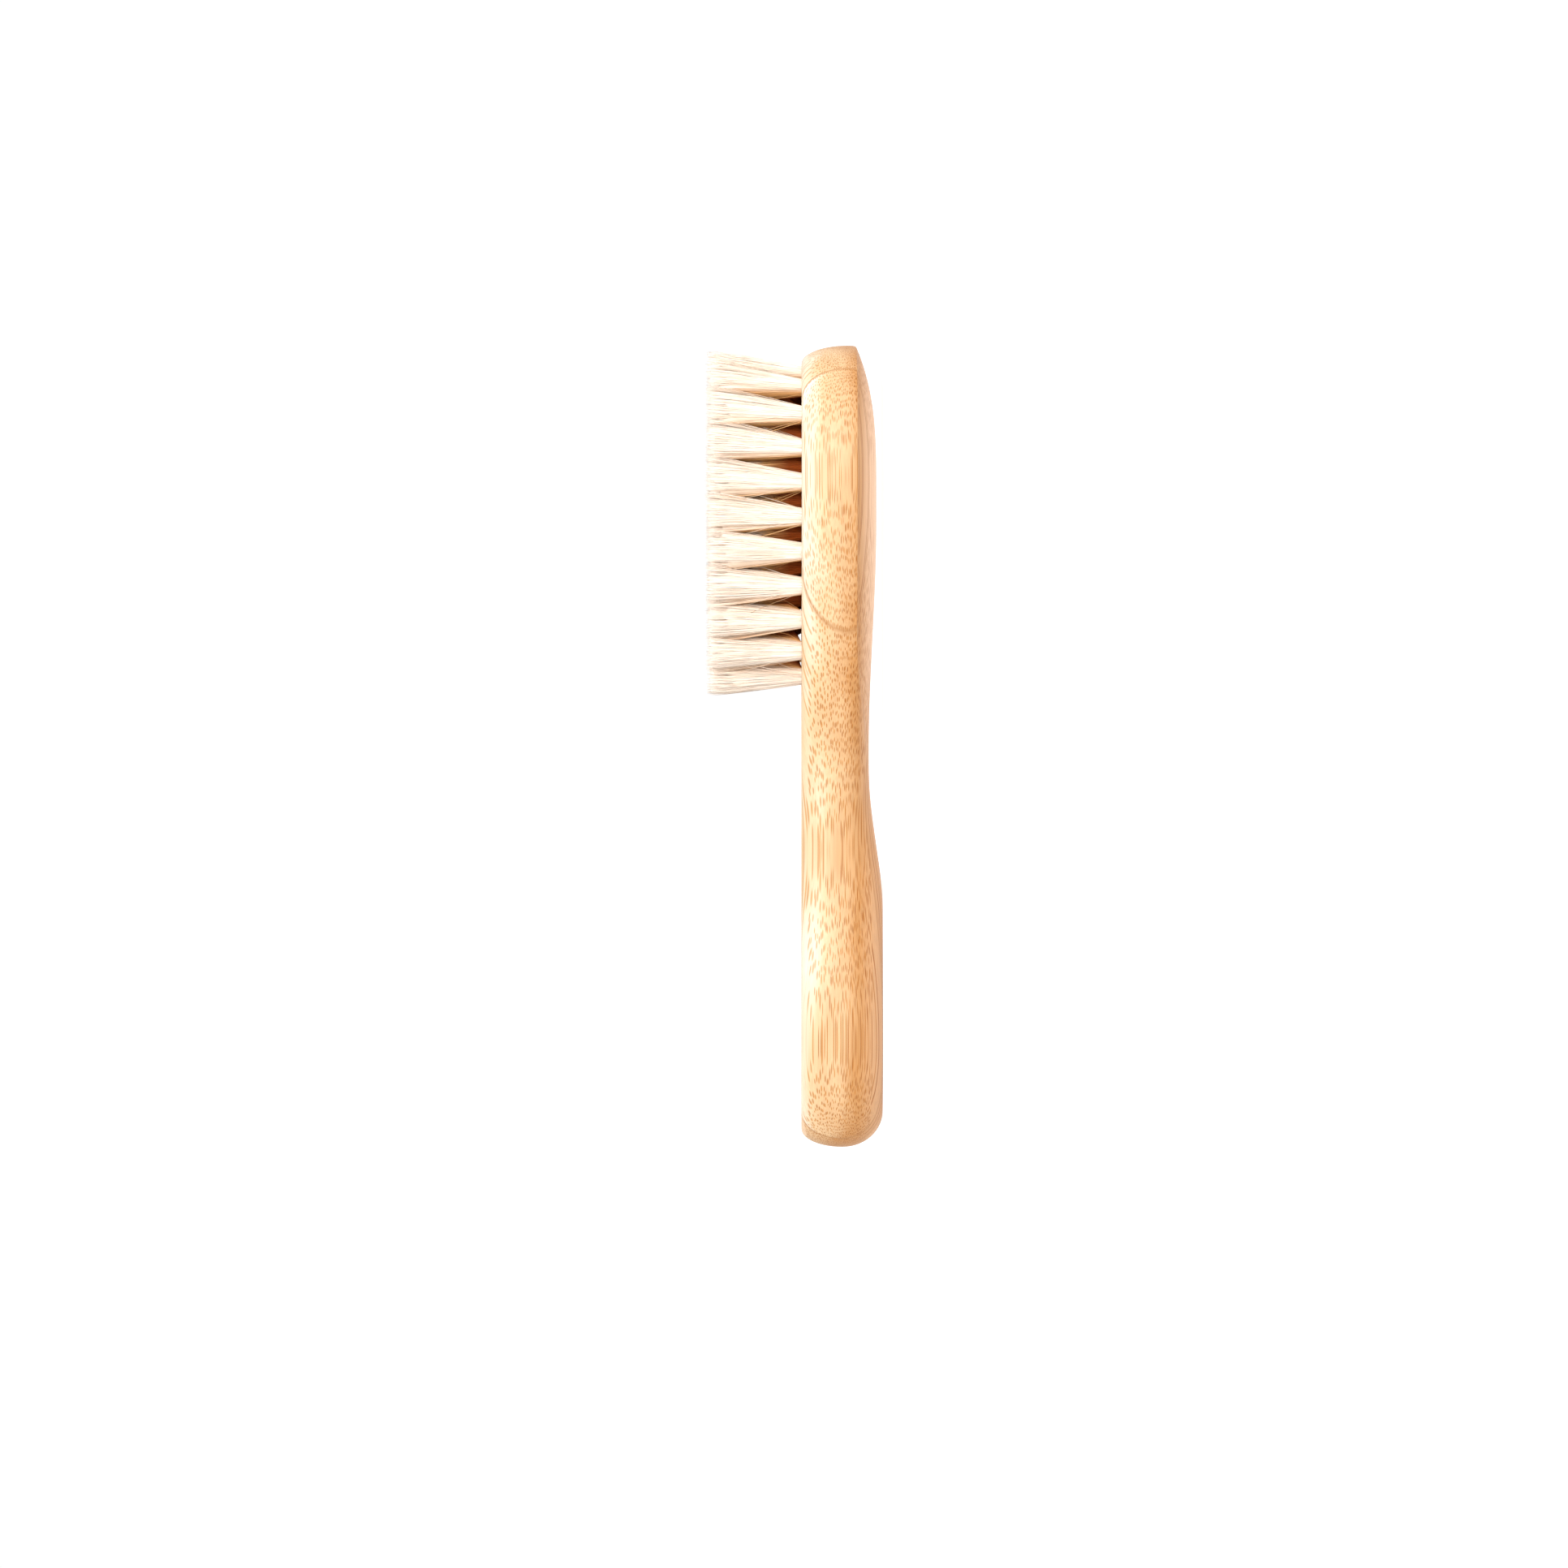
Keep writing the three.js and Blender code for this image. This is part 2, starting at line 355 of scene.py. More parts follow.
    def _bundles(
        self,
        tree: bpy.types.NodeTree,
        y_mm: bpy.types.NodeSocket,
        skin_side: bpy.types.Node,
        shift: float,
    ) -> tuple[bpy.types.Node, bpy.types.NodeSocket]:
        """Adds the vascular bundles, which run along X and crowd towards the skin side.

        Args:
            tree: The material's node tree.
            y_mm: Place across the brush.
            skin_side: 1 next to the skin of the culm, 0 at the hollow.
            shift: Moves the pattern, so that no two plies match.

        Returns:
            How much of a bundle a point is in, 0 to 1, and a random number for each bundle.
        """
        add = partial(add_node, tree)
        spacing = self.bundle_spacing
        crowded = add("Math", {"operation": "POWER", 1: self.crowding}, {0: skin_side})
        depth = add("Math", {"operation": "MULTIPLY", 1: FACE_Z / spacing}, {0: crowded})
        across = add("Math", {"operation": "MULTIPLY_ADD", 1: 1 / spacing, 2: shift}, {0: y_mm})
        cell = add("CombineXYZ", links={"X": across, "Y": depth})
        rows = {"voronoi_dimensions": "2D", "Scale": 1.0, "Randomness": self.disorder}
        dots = add("TexVoronoi", rows, {"Vector": cell})
        chance = add("SeparateColor", links={0: dots.outputs["Color"]})
        least, most = (size * self.bundle_radius / spacing for size in self.bundle_sizes)
        radius = add("MapRange", {"To Min": least, "To Max": most}, {"Value": chance})
        share = add("Math", {"operation": "DIVIDE"}, {0: dots, 1: radius})
        starts, fills = self.bundle_edge
        soft = {"interpolation_type": "SMOOTHSTEP", "From Min": starts, "From Max": fills}
        return add("MapRange", soft, {"Value": share}), chance.outputs[1]

    def _colour(
        self,
        tree: bpy.types.NodeTree,
        local: bpy.types.Node,
        skin_side: bpy.types.Node,
        bundle: bpy.types.Node,
        chance: bpy.types.NodeSocket,
        ply: Ply,
    ) -> bpy.types.Node:
        """Adds the colour of ground and bundles, with slow patches and fine fibres.

        Args:
            tree: The material's node tree.
            local: Place in millimetres.
            skin_side: 1 next to the skin of the culm, 0 at the hollow.
            bundle: How much of a bundle a point is in.
            chance: A random number for each bundle.
            ply: The ply, for its own patches and gold.

        Returns:
            The colour.
        """
        add = partial(add_node, tree)
        shift = self.ply_shift * ply.value
        gold = self.ripeness[abs(ply.value)]
        least, most = gold - self.patch_gold, gold + self.patch_gold
        patches = stretched_noise(tree, local, self.patch_scale, offset=(shift, shift, 0))
        spread = {**NOISE_RANGE, "To Min": least, "To Max": most}
        patchy = add("MapRange", spread, {"Value": patches})
        ripe = add("Math", {"operation": "ADD", "use_clamp": True}, {0: skin_side, 1: patchy})
        ground = add("ValToRGB", links={0: ripe})
        stops = ground.color_ramp.elements
        stops[0].color = linear(self.pith)
        stops[1].color = linear(self.skin)
        stops.new(self.middle_at).color = linear(self.middle)

        # The rind under the skin, with painted light from the floor below, which the grip has less
        # of.
        axes = add("SeparateXYZ", links={0: local}).outputs
        start, end = self.grip_end
        shallower = {"From Min": start, "From Max": end, "To Min": self.grip_rind}
        in_head = add("MapRange", shallower, {"Value": axes["X"]})
        full, none = self.rind_z
        low = add("MapRange", {"From Min": none, "From Max": full}, {"Value": axes["Z"]})
        rind_and_floor_light = add("Math", {"operation": "MULTIPLY"}, {0: low, 1: in_head})
        base = add("Mix", {"data_type": "RGBA", 7: linear(self.rind_and_floor_light)}, {0: rind_and_floor_light, 6: ground})

        # The bundles, deeper in ripe ground and veiled by the rind and its painted light.
        by_chance, by_ripeness = self.deepening
        ripened = add("Math", {"operation": "MULTIPLY", 1: by_ripeness}, {0: ripe})
        deep = {"operation": "MULTIPLY_ADD", 1: by_chance, "use_clamp": True}
        depth = add("Math", deep, {0: chance, 2: ripened})
        pale_deep = {"data_type": "RGBA", 6: linear(self.bundle_pale), 7: linear(self.bundle_deep)}
        bundle_colour = add("Mix", pale_deep, {0: depth})
        weak, strong = self.bundle_strength
        strength = add("MapRange", {"To Min": weak, "To Max": strong}, {"Value": ripe})
        veil = add("Math", {"operation": "MULTIPLY_ADD", 1: -self.rind_veil, 2: 1.0}, {0: rind_and_floor_light})
        shown = add("Math", {"operation": "MULTIPLY"}, {0: strength, 1: veil})
        amount = add("Math", {"operation": "MULTIPLY"}, {0: bundle, 1: shown})
        both = {6: base.outputs[2], 7: bundle_colour.outputs[2]}
        dotted = add("Mix", {"data_type": "RGBA"}, {0: amount, **both}).outputs[2]

        fibres = (self.fibre_streaks[1], 1 / self.fibre_width, 1 / self.fibre_width)
        fine = stretched_noise(tree, local, fibres)
        dark, light = self.fibre_shade
        spread = {"From Min": 0.25, "From Max": 0.75, "To Min": dark, "To Max": light}
        shade = add("MapRange", spread, {"Value": fine})
        return add("VectorMath", {"operation": "SCALE"}, {0: dotted, "Scale": shade})

    def _glue_line(
        self,
        tree: bpy.types.NodeTree,
        local: bpy.types.Node,
        colour: bpy.types.Node,
        glue_planes: tuple[float, float],
    ) -> bpy.types.NodeSocket:
        """Darkens a fine line next to each glued side.

        Args:
            tree: The material's node tree.
            local: Place in millimetres.
            colour: The colour away from the glue.
            glue_planes: The levels of Y of the ply's two long sides.

        Returns:
            The colour with its glue lines.
        """
        add = partial(add_node, tree)
        middle = sum(glue_planes) / 2
        half = abs(glue_planes[1] - glue_planes[0]) / 2
        y_mm = add("SeparateXYZ", links={0: local}).outputs["Y"]
        off_middle = add("Math", {"operation": "SUBTRACT", 1: middle}, {0: y_mm})
        away = add("Math", {"operation": "ABSOLUTE"}, {0: off_middle})
        line = {"From Min": half - 2 * self.glue_half, "From Max": half, "To Max": self.glue_strength}
        near = add("MapRange", line, {"Value": away})
        mixed = add("Mix", {"data_type": "RGBA", 7: linear(self.glue)}, {0: near, 6: colour})
        return mixed.outputs[2]


@dataclass(frozen=True)
class GoatHair:
    """Undyed, washed goat hair, which tapers to soft natural tips.

    The eye gets a warm cream, near white in the light, with darker and yellower hairs among the
    pale ones and a soft broad sheen. Painted into the colour are a brown shade deep in the field
    where the roots crowd, a tan shade on the flanks between tufts and a paler light at the tips.
    """

    pale: str = "FCEFE2"
    warm: str = "F3DCC1"
    # painted light: paler near the tips, which lifts the grey shade among them
    tips: str = "FFF0E2"
    tips_length: float = 6.0  # mm over which a hair turns to the painted light of its tip
    # painted shade: a warm tan on the flanks between neighbouring tufts
    flank: str = "DDA76A"
    # painted shade: the dark brown deep in the field, between and behind the tufts
    shaded: str = "A64C12"
    roughness: tuple[float, float] = (0.52, 0.75)
    hair_width: float = 0.0003  # metres; ten real hairs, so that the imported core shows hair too
    hair_stretch: float = 0.04  # how much slower the tone changes along a hair than across
    mottle: tuple[float, float] = (0.88, 1.04)  # darkest and lightest of neighbouring hairs

    def build(self) -> bpy.types.Material:
        """Makes the material of all tufts.

        Returns:
            The material.
        """
        keratin = {"IOR": 1.55, "Specular IOR Level": 0.15}
        material, tree, shader = new_material("goat_hair_washed", keratin)
        add = partial(add_node, tree)
        tone = add("Attribute", {"attribute_name": "hair_tone"}).outputs["Fac"]
        # how much painted shade each point gets: 0 in the open, 0.5 on a flank, 1 deep in the field
        depth = add("Attribute", {"attribute_name": "root_shade"}).outputs["Fac"]
        pale_warm = {"data_type": "RGBA", 6: linear(self.pale), 7: linear(self.warm)}
        body = add("Mix", pale_warm, {0: tone}).outputs[2]
        place = add("TexCoord").outputs["Object"]
        across, along = 1 / self.hair_width, self.hair_stretch / self.hair_width
        mottle = stretched_noise(tree, place, (across, across, along), detail=1.0)
        dark, light = self.mottle
        spread = {**NOISE_RANGE, "To Min": dark, "To Max": light}
        shade = add("MapRange", spread, {"Value": mottle})
        colour = add("VectorMath", {"operation": "SCALE"}, {0: body, "Scale": shade}).outputs[0]
        height = add("SeparateXYZ", links={0: place}).outputs["Z"]
        # Painted light towards the tips, then the painted shade on the flanks and deep in the field.
        for tint, source, low, high in (
            (self.tips, height, (TIP_Z - self.tips_length) * MM, TIP_Z * MM),
            (self.flank, depth, 0.0, 0.5),
            (self.shaded, depth, 0.5, 1.0),
        ):
            share = add("MapRange", {"From Min": low, "From Max": high}, {"Value": source})
            mixed = add("Mix", {"data_type": "RGBA", 7: linear(tint)}, {0: share, 6: colour})
            colour = mixed.outputs[2]
        tree.links.new(colour, shader.inputs["Base Color"])
        low, high = self.roughness
        rough = add("MapRange", {"To Min": low, "To Max": high}, {"Value": mottle})
        tree.links.new(rough.outputs[0], shader.inputs["Roughness"])
        return material


@dataclass(frozen=True)
class DrawnBrass:
    """Hard drawn brass wire, flattened a little where the driving tool struck it.

    The eye would get a dull yellow metal with fine marks along the wire.
    """

    colour: str = "C9A35A"
    roughness: tuple[float, float] = (0.25, 0.5)
    marks_scale: float = 4.0  # marks in a mm

    def build(self) -> bpy.types.Material:
        """Makes the material of the staples.

        Returns:
            The material.
        """
        metal = {"Base Color": linear(self.colour), "Metallic": 1.0}
        material, tree, shader = new_material("brass_wire_drawn", metal)
        place = add_node(tree, "TexCoord").outputs["Object"]
        marks = add_node(tree, "TexNoise", {"Scale": self.marks_scale / MM}, {"Vector": place})
        low, high = self.roughness
        rough = add_node(tree, "MapRange", {"To Min": low, "To Max": high}, {"Value": marks})
        tree.links.new(rough.outputs[0], shader.inputs["Roughness"])
        return material


@dataclass(frozen=True)
class PaintedFloor:
    """Matt white studio paint: pale, even, with hardly any sheen."""

    colour: str = "B4B3B2"
    glow: float = 0.78  # evens out the light on it

    def build(self) -> bpy.types.Material:
        """Makes the floor's material.

        Returns:
            The material.
        """
        paint = {
            "Base Color": linear(self.colour),
            "Roughness": 0.9,
            "Specular IOR Level": 0.1,
            "Emission Color": (1, 1, 1, 1),
            "Emission Strength": self.glow,
        }
        return new_material("studio_paint_white", paint)[0]


# --- Bamboo body ---


@dataclass
class BambooBody:
    """The shaped body, cut from a blank of five plies glued side by side.

    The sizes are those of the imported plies: a plan outline of four smooth stretches on each side,
    a long round on the front corner, and a back that is a round grip, a hollow neck and a low
    dome with a soft crease round it.
    """

    head_x: float = 52.7
    head_half: float = HALF_WIDTH
    tip_fullness: float = 0.7
    head_neck_reach: float = 21
    waist_x: float = -20.3
    waist_half: float = 8
    waist_head_reach: float = 24
    waist_grip_reach: float = 16
    grip_x: float = -59.2
    grip_half: float = 11.6
    grip_waist_reach: float = 16
    grip_butt_reach: float = 12.5
    butt_fullness: float = 7
    front_round: float = 3.6
    face_shelf: float = 0.5  # a flat strip inside the face's edge, which keeps its shading flat
    grip_widest_z: float = 8
    grip_back_round: float = 7
    head_widest_z: float = 6.9
    head_back_round: float = 0.3
    head_crease_z: float = 5.3
    crease_fade: tuple[float, float] = (-8, 22)
    crown: tuple[float, float] = (44, 1.27)
    neck_top: tuple[float, float] = (0, 2.73)
    neck_foot: tuple[float, float] = (-6, 2.73)
    grip_flat: tuple[float, float] = (-32, 0)
    spine: tuple[float, float] = (-67, 52)
    dome_power: float = 3
    ply_thickness: float = 11.2
    steps_curve: int = 400  # in each stretch of the outline, before it is parted evenly
    steps_along: int = 230
    steps_round: int = 14
    steps_back: int = 22
    finish: LaminatedBamboo = field(default_factory=LaminatedBamboo)

    def stretches(self) -> list[list[tuple[float, float]]]:
        """The four cubic stretches of one side of the plan outline, from tip to butt.

        Returns:
            Four lists of four control points.
        """
        tip, full = HALF_LENGTH, self.tip_fullness
        head_x, waist_x, grip_x = self.head_x, self.waist_x, self.grip_x
        head, waist, grip = self.head_half, self.waist_half, self.grip_half
        from_head, to_waist = head_x - self.head_neck_reach, waist_x + self.waist_head_reach
        from_waist, to_grip = waist_x - self.waist_grip_reach, grip_x + self.grip_waist_reach
        from_grip = grip_x - self.grip_butt_reach
        return [
            [(tip, 0), (tip, full * head), (head_x + full * (tip - head_x), head), (head_x, head)],
            [(head_x, head), (from_head, head), (to_waist, waist), (waist_x, waist)],
            [(waist_x, waist), (from_waist, waist), (to_grip, grip), (grip_x, grip)],
            [(grip_x, grip), (from_grip, grip), (-tip, self.butt_fullness), (-tip, 0)],
        ]

    def outline(self) -> tuple[np.ndarray, np.ndarray]:
        """Points of the closed plan outline at even steps, with their inward normals.

        Returns:
            Two arrays of X and Y, the points and the normals.
        """
        t = np.linspace(0, 1, self.steps_curve)[:, None]
        pieces = []
        for a, b, c, d in (np.array(stretch, float) for stretch in self.stretches()):
            curve = a * (1 - t) ** 3 + 3 * b * t * (1 - t) ** 2 + 3 * c * t**2 * (1 - t) + d * t**3
            pieces.append(curve[:-1])
        side = np.vstack([*pieces, [[-HALF_LENGTH, 0]]])
        run = np.concatenate([[0], np.cumsum(np.linalg.norm(np.diff(side, axis=0), axis=1))])
        even = np.linspace(0, run[-1], self.steps_along + 1)
        points = np.stack([np.interp(even, run, side[:, k]) for k in (0, 1)], axis=1)
        points = np.vstack([points, points[-2:0:-1] * (1, -1)])
        tangent = np.roll(points, -1, axis=0) - np.roll(points, 1, axis=0)
        tangent /= np.linalg.norm(tangent, axis=1)[:, None]
        return points, np.stack([-tangent[:, 1], tangent[:, 0]], axis=1)

    def back_z(self, x: np.ndarray) -> np.ndarray:
        """Height of the back along the centre line.

        Args:
            x: Places along the brush.

        Returns:
            The heights.
        """
        stretches = []
        for (x0, z0), (x1, z1) in ((self.neck_top, self.crown), (self.grip_flat, self.neck_foot)):
            stretches.append(z0 + (z1 - z0) * smoothstep(x, x0, x1))
        return np.where(x > self.neck_foot[0], *stretches)

    def section(self, x: np.ndarray) -> tuple[np.ndarray, np.ndarray, np.ndarray]:
        """The edge section at places along the brush.

        Args:
            x: Places along the brush.

        Returns:
            Height of the widest level, round of the back corner and height of its end.
        """
        head = smoothstep(x, *self.crease_fade)
        widest = self.grip_widest_z + (self.head_widest_z - self.grip_widest_z) * head
        back_round = self.grip_back_round + (self.head_back_round - self.grip_back_round) * head
        corner = self.back_z(x) + (self.head_crease_z - self.back_z(x)) * head
        return widest, back_round, corner

    def rings(self) -> np.ndarray:
        """All rings of the skin, from the middle of the face over the edge to the centre line.

        Returns:
            An array of rings by points by X, Y and Z.
        """
        points, inward = self.outline()
        widest, back_round, corner_z = self.section(points[:, 0])

        def ring(inset: np.ndarray | float, z: np.ndarray | float) -> np.ndarray:
            """A ring set in from the outline, at a height."""
            flat = points + inward * np.reshape(np.broadcast_to(inset, len(points)), (-1, 1))
            return np.column_stack([flat, np.broadcast_to(z, len(points))])

        def spine(corner: np.ndarray) -> np.ndarray:
            """The centre line points that a ring closes on."""
            along = np.clip(corner[:, 0], *self.spine)
            return np.column_stack([along, np.zeros(len(corner)), corner[:, 2]])

        face = ring(self.front_round + self.face_shelf, FACE_Z)
        rings = [spine(face), face]
        for turn in np.linspace(math.pi / 2, 0, self.steps_round + 1):
            inset = self.front_round * (1 - math.cos(turn))
            rings.append(ring(inset, widest + (FACE_Z - widest) * math.sin(turn)))
        for turn in np.linspace(0, math.pi / 2, self.steps_round + 1)[1:]:
            inset = back_round * (1 - math.cos(turn))
            rings.append(ring(inset, widest - (widest - corner_z) * math.sin(turn)))
        corner = rings[-1]
        for way in np.linspace(0, 1, self.steps_back + 1)[1:]:
            place = corner + (spine(corner) - corner) * way
            crown = self.back_z(place[:, 0])
            place[:, 2] = crown + (corner_z - crown) * (1 - way) ** self.dome_power
            rings.append(place)
        return np.array(rings)

    def blank(self) -> bmesh.types.BMesh:
        """The whole body before it is parted into plies and drilled.

        Returns:
            A closed bmesh in metres.
        """
        rings = self.rings()
        mesh = new_mesh("blank", rings.reshape(-1, 3), ring_faces(*rings.shape[:2]).tolist())
        shape = bmesh.new()
        shape.from_mesh(mesh)
        bpy.data.meshes.remove(mesh)
        bmesh.ops.remove_doubles(shape, verts=shape.verts, dist=SAME_PLACE)
        bmesh.ops.recalc_face_normals(shape, faces=shape.faces)
        return shape

    def glue_planes(self, ply: Ply) -> tuple[float, float]:
        """The lower and the higher level of Y of a ply's two long sides."""
        middle = ply.value * self.ply_thickness
        return middle - self.ply_thickness / 2, middle + self.ply_thickness / 2

    def part(self, blank: bmesh.types.BMesh, ply: Ply) -> bpy.types.Mesh:
        """Cuts one ply out of the body.

        Args:
            blank: The whole body.
            ply: The ply to keep.

        Returns:
            Its closed mesh, not yet drilled.
        """
        shape = blank.copy()
        for level, side in zip(self.glue_planes(ply), (-1, 1), strict=True):
            if abs(level) > self.head_half:
                continue
            bmesh.ops.bisect_plane(
                shape,
                geom=shape.verts[:] + shape.edges[:] + shape.faces[:],
                dist=SAME_PLACE,
                plane_co=(0, level * MM, 0),
                plane_no=(0, side, 0),
                clear_outer=True,
            )
            rim = [edge for edge in shape.edges if edge.is_boundary]
            bmesh.ops.triangle_fill(shape, edges=rim, use_beauty=True)
        bmesh.ops.recalc_face_normals(shape, faces=shape.faces)
        mesh = bpy.data.meshes.new(ply.node)
        shape.to_mesh(mesh)
        shape.free()
        return mesh

    def build(self, drills: bpy.types.Object) -> list[bpy.types.Object]:
        """Builds, drills and dresses the five plies.

        Args:
            drills: One object with the shapes of all holes.

        Returns:
            The plies.
        """
        blank = self.blank()
        pieces = []
        for ply in Ply:
            finish = self.finish.build(ply, self.glue_planes(ply))
            piece = mesh_object(f"bamboo_{ply.name.lower()}", self.part(blank, ply), finish)
            cut_with(piece, drills)
            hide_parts(ply.node)
            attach(piece, ROOT)
            pieces.append(piece)
        blank.free()
        return pieces


def cut_with(piece: bpy.types.Object, cutter: bpy.types.Object) -> None:
    """Cuts another object's shape out of a piece, for good, and shades it smooth up to its edges.

    Args:
        piece: The piece to cut.
        cutter: The object whose closed shapes are taken away.
    """
    cut = piece.modifiers.new("holes", "BOOLEAN")
    cut.operation = "DIFFERENCE"
    cut.solver = "EXACT"
    cut.object = cutter
    evaluated = piece.evaluated_get(bpy.context.evaluated_depsgraph_get())
    mesh = bpy.data.meshes.new_from_object(evaluated)
    piece.modifiers.clear()
    uncut = piece.data
    piece.data = mesh
    mesh.name = uncut.name
    bpy.data.meshes.remove(uncut)
    mesh.shade_smooth()
    mesh.set_sharp_from_angle(angle=SHARP_ANGLE)


# --- Tufts ---


FREE_LENGTH = TIP_Z - FACE_Z

# Shares of the free length where a hair has its points; the first is down in the hole.
STRAND_STEPS = (0.0, 0.0, 0.14, 0.3, 0.48, 0.66, 0.82, 0.93, 1.0)
TAPER = ((0, 0.5, 0.93, 1), (1, 0.95, 0.7, 0))  # such shares, and a hair's radius there
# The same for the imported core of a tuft, between the foot in its hole and its top.
CORE_STEPS = (0.0, 0.04, 0.08, 0.16, 0.25, 0.35, 0.46, 0.58, 0.68)


class Ring(Enum):
    """The three rings of tufts."""

    OUTER = "outer"
    MIDDLE = "middle"
    INNER = "inner"


@dataclass
class Tuft:
    """One bundle of hair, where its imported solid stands."""

    name: str
    ring: Ring
    root: np.ndarray  # centre of its hole, X and Y
    tip: np.ndarray  # centre of its tips, X and Y


@dataclass
class TuftField:
    """All tufts of the head: their holes and their hair."""

    hole_radius: float = 1.9
    hole_depth: float = 7.5
    hole_sides: int = 32
    bundle_radius: float = 1.78
    foot_gap: float = 0.35  # hair starts this far above the bottom of its hole
    foot_spread: float = 0.8  # or up to this much higher
    widest_reach: float = 4.9  # how far the tips spread to fill a wide gap between neighbours
    deep_reach: float = 5.6  # the same, inside the field, where no gap stays open
    free_reach: float = 3.5  # how far they spread at the edge of the field
    meets_from: float = 0.3  # cosine, off straight to a neighbour, from which its tips are met
    inside_from: float = 0.5  # cosine, off straight into the field, where an outer tuft's rim ends
    neighbour_overlap: float = 0.5  # tips of neighbours mingle by this much
    outer_spread: tuple[float, float] = (0.92, 1.15)  # share of the free length to open over, power
    bushy_spread: tuple[float, float] = (0.5, 1.4)  # the same, inside the field
    inner_spread: tuple[float, float] = (0.08, 1.6)  # the same, where an outer tuft faces the field
    inner_side: tuple[float, float] = (0.15, 0.75)  # cosines over which that side begins
    loose_end: tuple[float, float] = (22.0, 32.0)  # X up to which it does so, fading out
    ring_middle: float = 50.0  # X where the rings are widest, with the outer ring's half axes:
    ring_axes: tuple[float, float, float] = (24.2, 36.6, 15.3)  # to the tip, to the neck, across
    surface_strands: int = 440
    surface_band: float = 0.86  # share of the bundle's radius from which they stand
    inner_strands: int = 340
    strand_radius: float = 0.055  # mm; real hair is about 0.03, drawn coarser so that it shows
    strand_spread: tuple[float, float] = (0.7, 1.3)  # the finest and the coarsest of that
    tip_scatter: float = 0.045  # share of the reach that a tip lies off its place
    clumps: int = 26
    clump_pull: float = 0.3  # how far at most hairs gather to the middle of their lock
    strays: int = 12
    stray_reach: tuple[float, float] = (0.15, 0.8)  # share of the way to a neighbour
    stray_height: float = 0.7  # share of the free length over which a stray hair crosses
    trim_spread: float = 2.6  # mm between the longest and the shortest tips
    trim_draw: tuple[float, float] = (1.1, 1.5)  # beta draw of that; most are near the longest
    tone_draw: tuple[float, float] = (1.3, 3.0)  # beta draw of a hair's tone; most are pale
    wave: float = 0.09  # mm that a hair waves to each side
    wave_turns: tuple[float, float] = (0.6, 1.6)  # waves in the free length
    core_sides: int = 40
    core_share: float = 0.9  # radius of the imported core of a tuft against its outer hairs
    core_top: float = 0.76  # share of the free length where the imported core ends
    core_cap: tuple[float, float] = (0.04, 0.07)  # further steps, over which it rounds off
    cap_slope: float = 5.0  # how fast it narrows there
    cap_crown: float = 0.6  # mm that its middle then stands higher
    core_flute: float = 0.035  # how deep it is fluted, of its radius
    core_ragged: float = 0.08  # how much its top varies round the tuft
    core_tone: float = 0.35  # from the palest hair, 0, to the warmest, 1
    lock_normal: float = 0.68  # share of a tuft's own roundness in the shading of its hairs
    lock_up: tuple[float, float] = (0.12, 0.9)  # how much that leans up: at the side, more on top
    lock_top: float = 0.72  # share of the free length where the top begins
    deep_fade: tuple[float, float] = (0.08, 0.75)  # shares of it over which the painted deep shade goes
    inner_fade: tuple[float, float] = (0.25, 0.85)  # the same, where an outer tuft faces the field
    flank_fade: tuple[float, float] = (0.6, 1.0)  # the same, between neighbours
    field_edge: tuple[float, float] = (-0.6, 3.2)  # mm inside the outer roots; painted shade from, full at
    finish: GoatHair = field(default_factory=GoatHair)
    tufts: list[Tuft] = field(default_factory=list)

    def __post_init__(self) -> None:
        """Finds each tuft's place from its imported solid."""
        self.tufts += [self.read(name) for name in sorted(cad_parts) if "tuft_" in name]

    @staticmethod
    def read(name: str) -> Tuft:
        """Reads a tuft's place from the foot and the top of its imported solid.

        Args:
            name: The CAD node.

        Returns:
            The tuft.
        """
        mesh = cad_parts[name].data
        places = np.empty(len(mesh.vertices) * 3)
        mesh.vertices.foreach_get("co", places)
        places = places.reshape(-1, 3) / MM
        height = places[:, 2]
        same_level = 0.05
        ends = []
        for level in (height.min(), height.max()):
            end = places[np.abs(height - level) < same_level, :2]
            ends.append((end.min(axis=0) + end.max(axis=0)) / 2)
        return Tuft(name, Ring(name.split("_")[1]), ends[0], ends[1])

    def drills(self) -> bpy.types.Object:
        """The shapes of all holes, as one helper object.

        Returns:
            The helper, to be removed once the plies are cut.
        """
        shape = bmesh.new()
        overshoot = 1.0
        tall = self.hole_depth + overshoot
        for tuft in self.tufts:
            middle = Vector((*tuft.root, FACE_Z + overshoot - tall / 2)) * MM
            bmesh.ops.create_cone(
                shape,
                cap_ends=True,
                segments=self.hole_sides,
                radius1=self.hole_radius * MM,
                radius2=self.hole_radius * MM,
                depth=tall * MM,
                matrix=Matrix.Translation(middle),
            )
        mesh = bpy.data.meshes.new("drills")
        shape.to_mesh(mesh)
        shape.free()
        helper = new_object("drills", mesh)
        bpy.context.view_layer.update()
        return helper

    def neighbours(self, tuft: Tuft, near: float) -> list[Tuft]:
        """The other tufts whose tips are less than a distance away, in mm."""
        return [t for t in self.tufts if t is not tuft and np.hypot(*(t.tip - tuft.tip)) < near]

